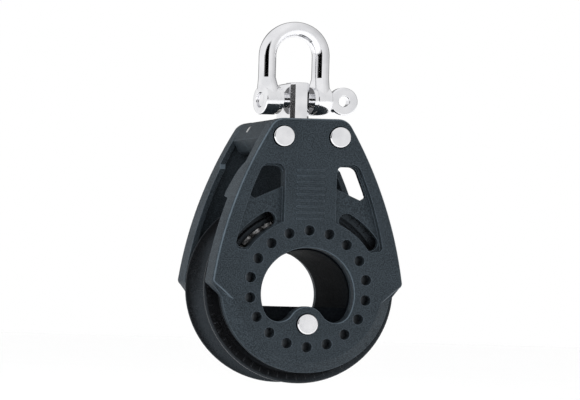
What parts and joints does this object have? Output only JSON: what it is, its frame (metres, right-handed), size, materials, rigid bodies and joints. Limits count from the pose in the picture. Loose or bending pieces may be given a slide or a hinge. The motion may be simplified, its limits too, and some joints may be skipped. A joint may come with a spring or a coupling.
{
  "type": "swivel sheave block",
  "caption": "Swivelling pulley block: grooved sheave on caged balls between two moulded cheeks, with a flat-sided swivel post and a screw-pin bow shackle.",
  "frame": {"origin": "centre of the sheave, midway between the cheeks, on the sheave's axis", "axes": "+Y along the sheave's axis towards the back cheek, +Z from the sheave's centre to the shackle, +X towards the ring end of the shackle pin"},
  "size_m": [0.075, 0.0324, 0.1445],
  "materials": {
    "cheek_plastic": "fine grained moulded, matte",
    "head_plastic": "moulded, matte",
    "core_plastic": "moulded, matte",
    "sheave_plastic": "moulded, satin groove",
    "race_metal": "turned, hard anodised",
    "ball_plastic": "smooth",
    "cage_plastic": "moulded",
    "bush_plastic": "turned",
    "stainless": "polished stainless steel",
    "collar_steel": "stamped stainless steel"
  },
  "bodies": {
    "cheeks": {"front_cheek": "cheek_plastic", "back_cheek": "cheek_plastic", "head_front": "head_plastic", "head_back": "head_plastic", "split_collar_front": "collar_steel", "split_collar_back": "collar_steel", "left_head_rivet": "stainless", "right_head_rivet": "stainless", "hub_rivet": "stainless", "hub_core": "core_plastic", "inner_race_front": "race_metal", "inner_race_back": "race_metal", "swivel_bush_upper": "bush_plastic", "swivel_bush_lower": "bush_plastic"},
    "sheave": {"sheave": "sheave_plastic"},
    "ball_row_front": {"bearing_balls_front": "ball_plastic", "ball_cage_front": "cage_plastic"},
    "ball_row_back": {"bearing_balls_back": "ball_plastic", "ball_cage_back": "cage_plastic"},
    "swivel": {"swivel_post": "stainless", "shackle_lock_screw": "stainless"},
    "shackle": {"shackle_bow": "stainless"},
    "pin": {"shackle_pin": "stainless"}
  },
  "joints": [
    {"name": "sheave_spin", "type": "hinge", "parent": "cheeks", "child": "sheave", "pos_m": [0, 0, 0], "axis": [0, 1, 0], "continuous": true},
    {"name": "front_row_orbit", "type": "hinge", "parent": "cheeks", "child": "ball_row_front", "pos_m": [0, 0, 0], "axis": [0, 1, 0], "continuous": true},
    {"name": "back_row_orbit", "type": "hinge", "parent": "cheeks", "child": "ball_row_back", "pos_m": [0, 0, 0], "axis": [0, 1, 0], "continuous": true},
    {"name": "swivel_turn", "type": "hinge", "parent": "cheeks", "child": "swivel", "pos_m": [0, 0, 0.0655], "axis": [0, 0, 1], "continuous": true},
    {"name": "shackle_tilt", "type": "hinge", "parent": "swivel", "child": "shackle", "pos_m": [0, 0, 0.0755], "axis": [1, 0, 0], "range_deg": [-100, 100]},
    {"name": "pin_withdraw", "type": "slide", "parent": "shackle", "child": "pin", "axis": [1, 0, 0], "range_m": [0, 0.027]}
  ],
  "couplings": [
    {"joint": "front_row_orbit", "follows": "sheave_spin", "ratio": 0.5425},
    {"joint": "back_row_orbit", "follows": "sheave_spin", "ratio": 0.5425}
  ]
}
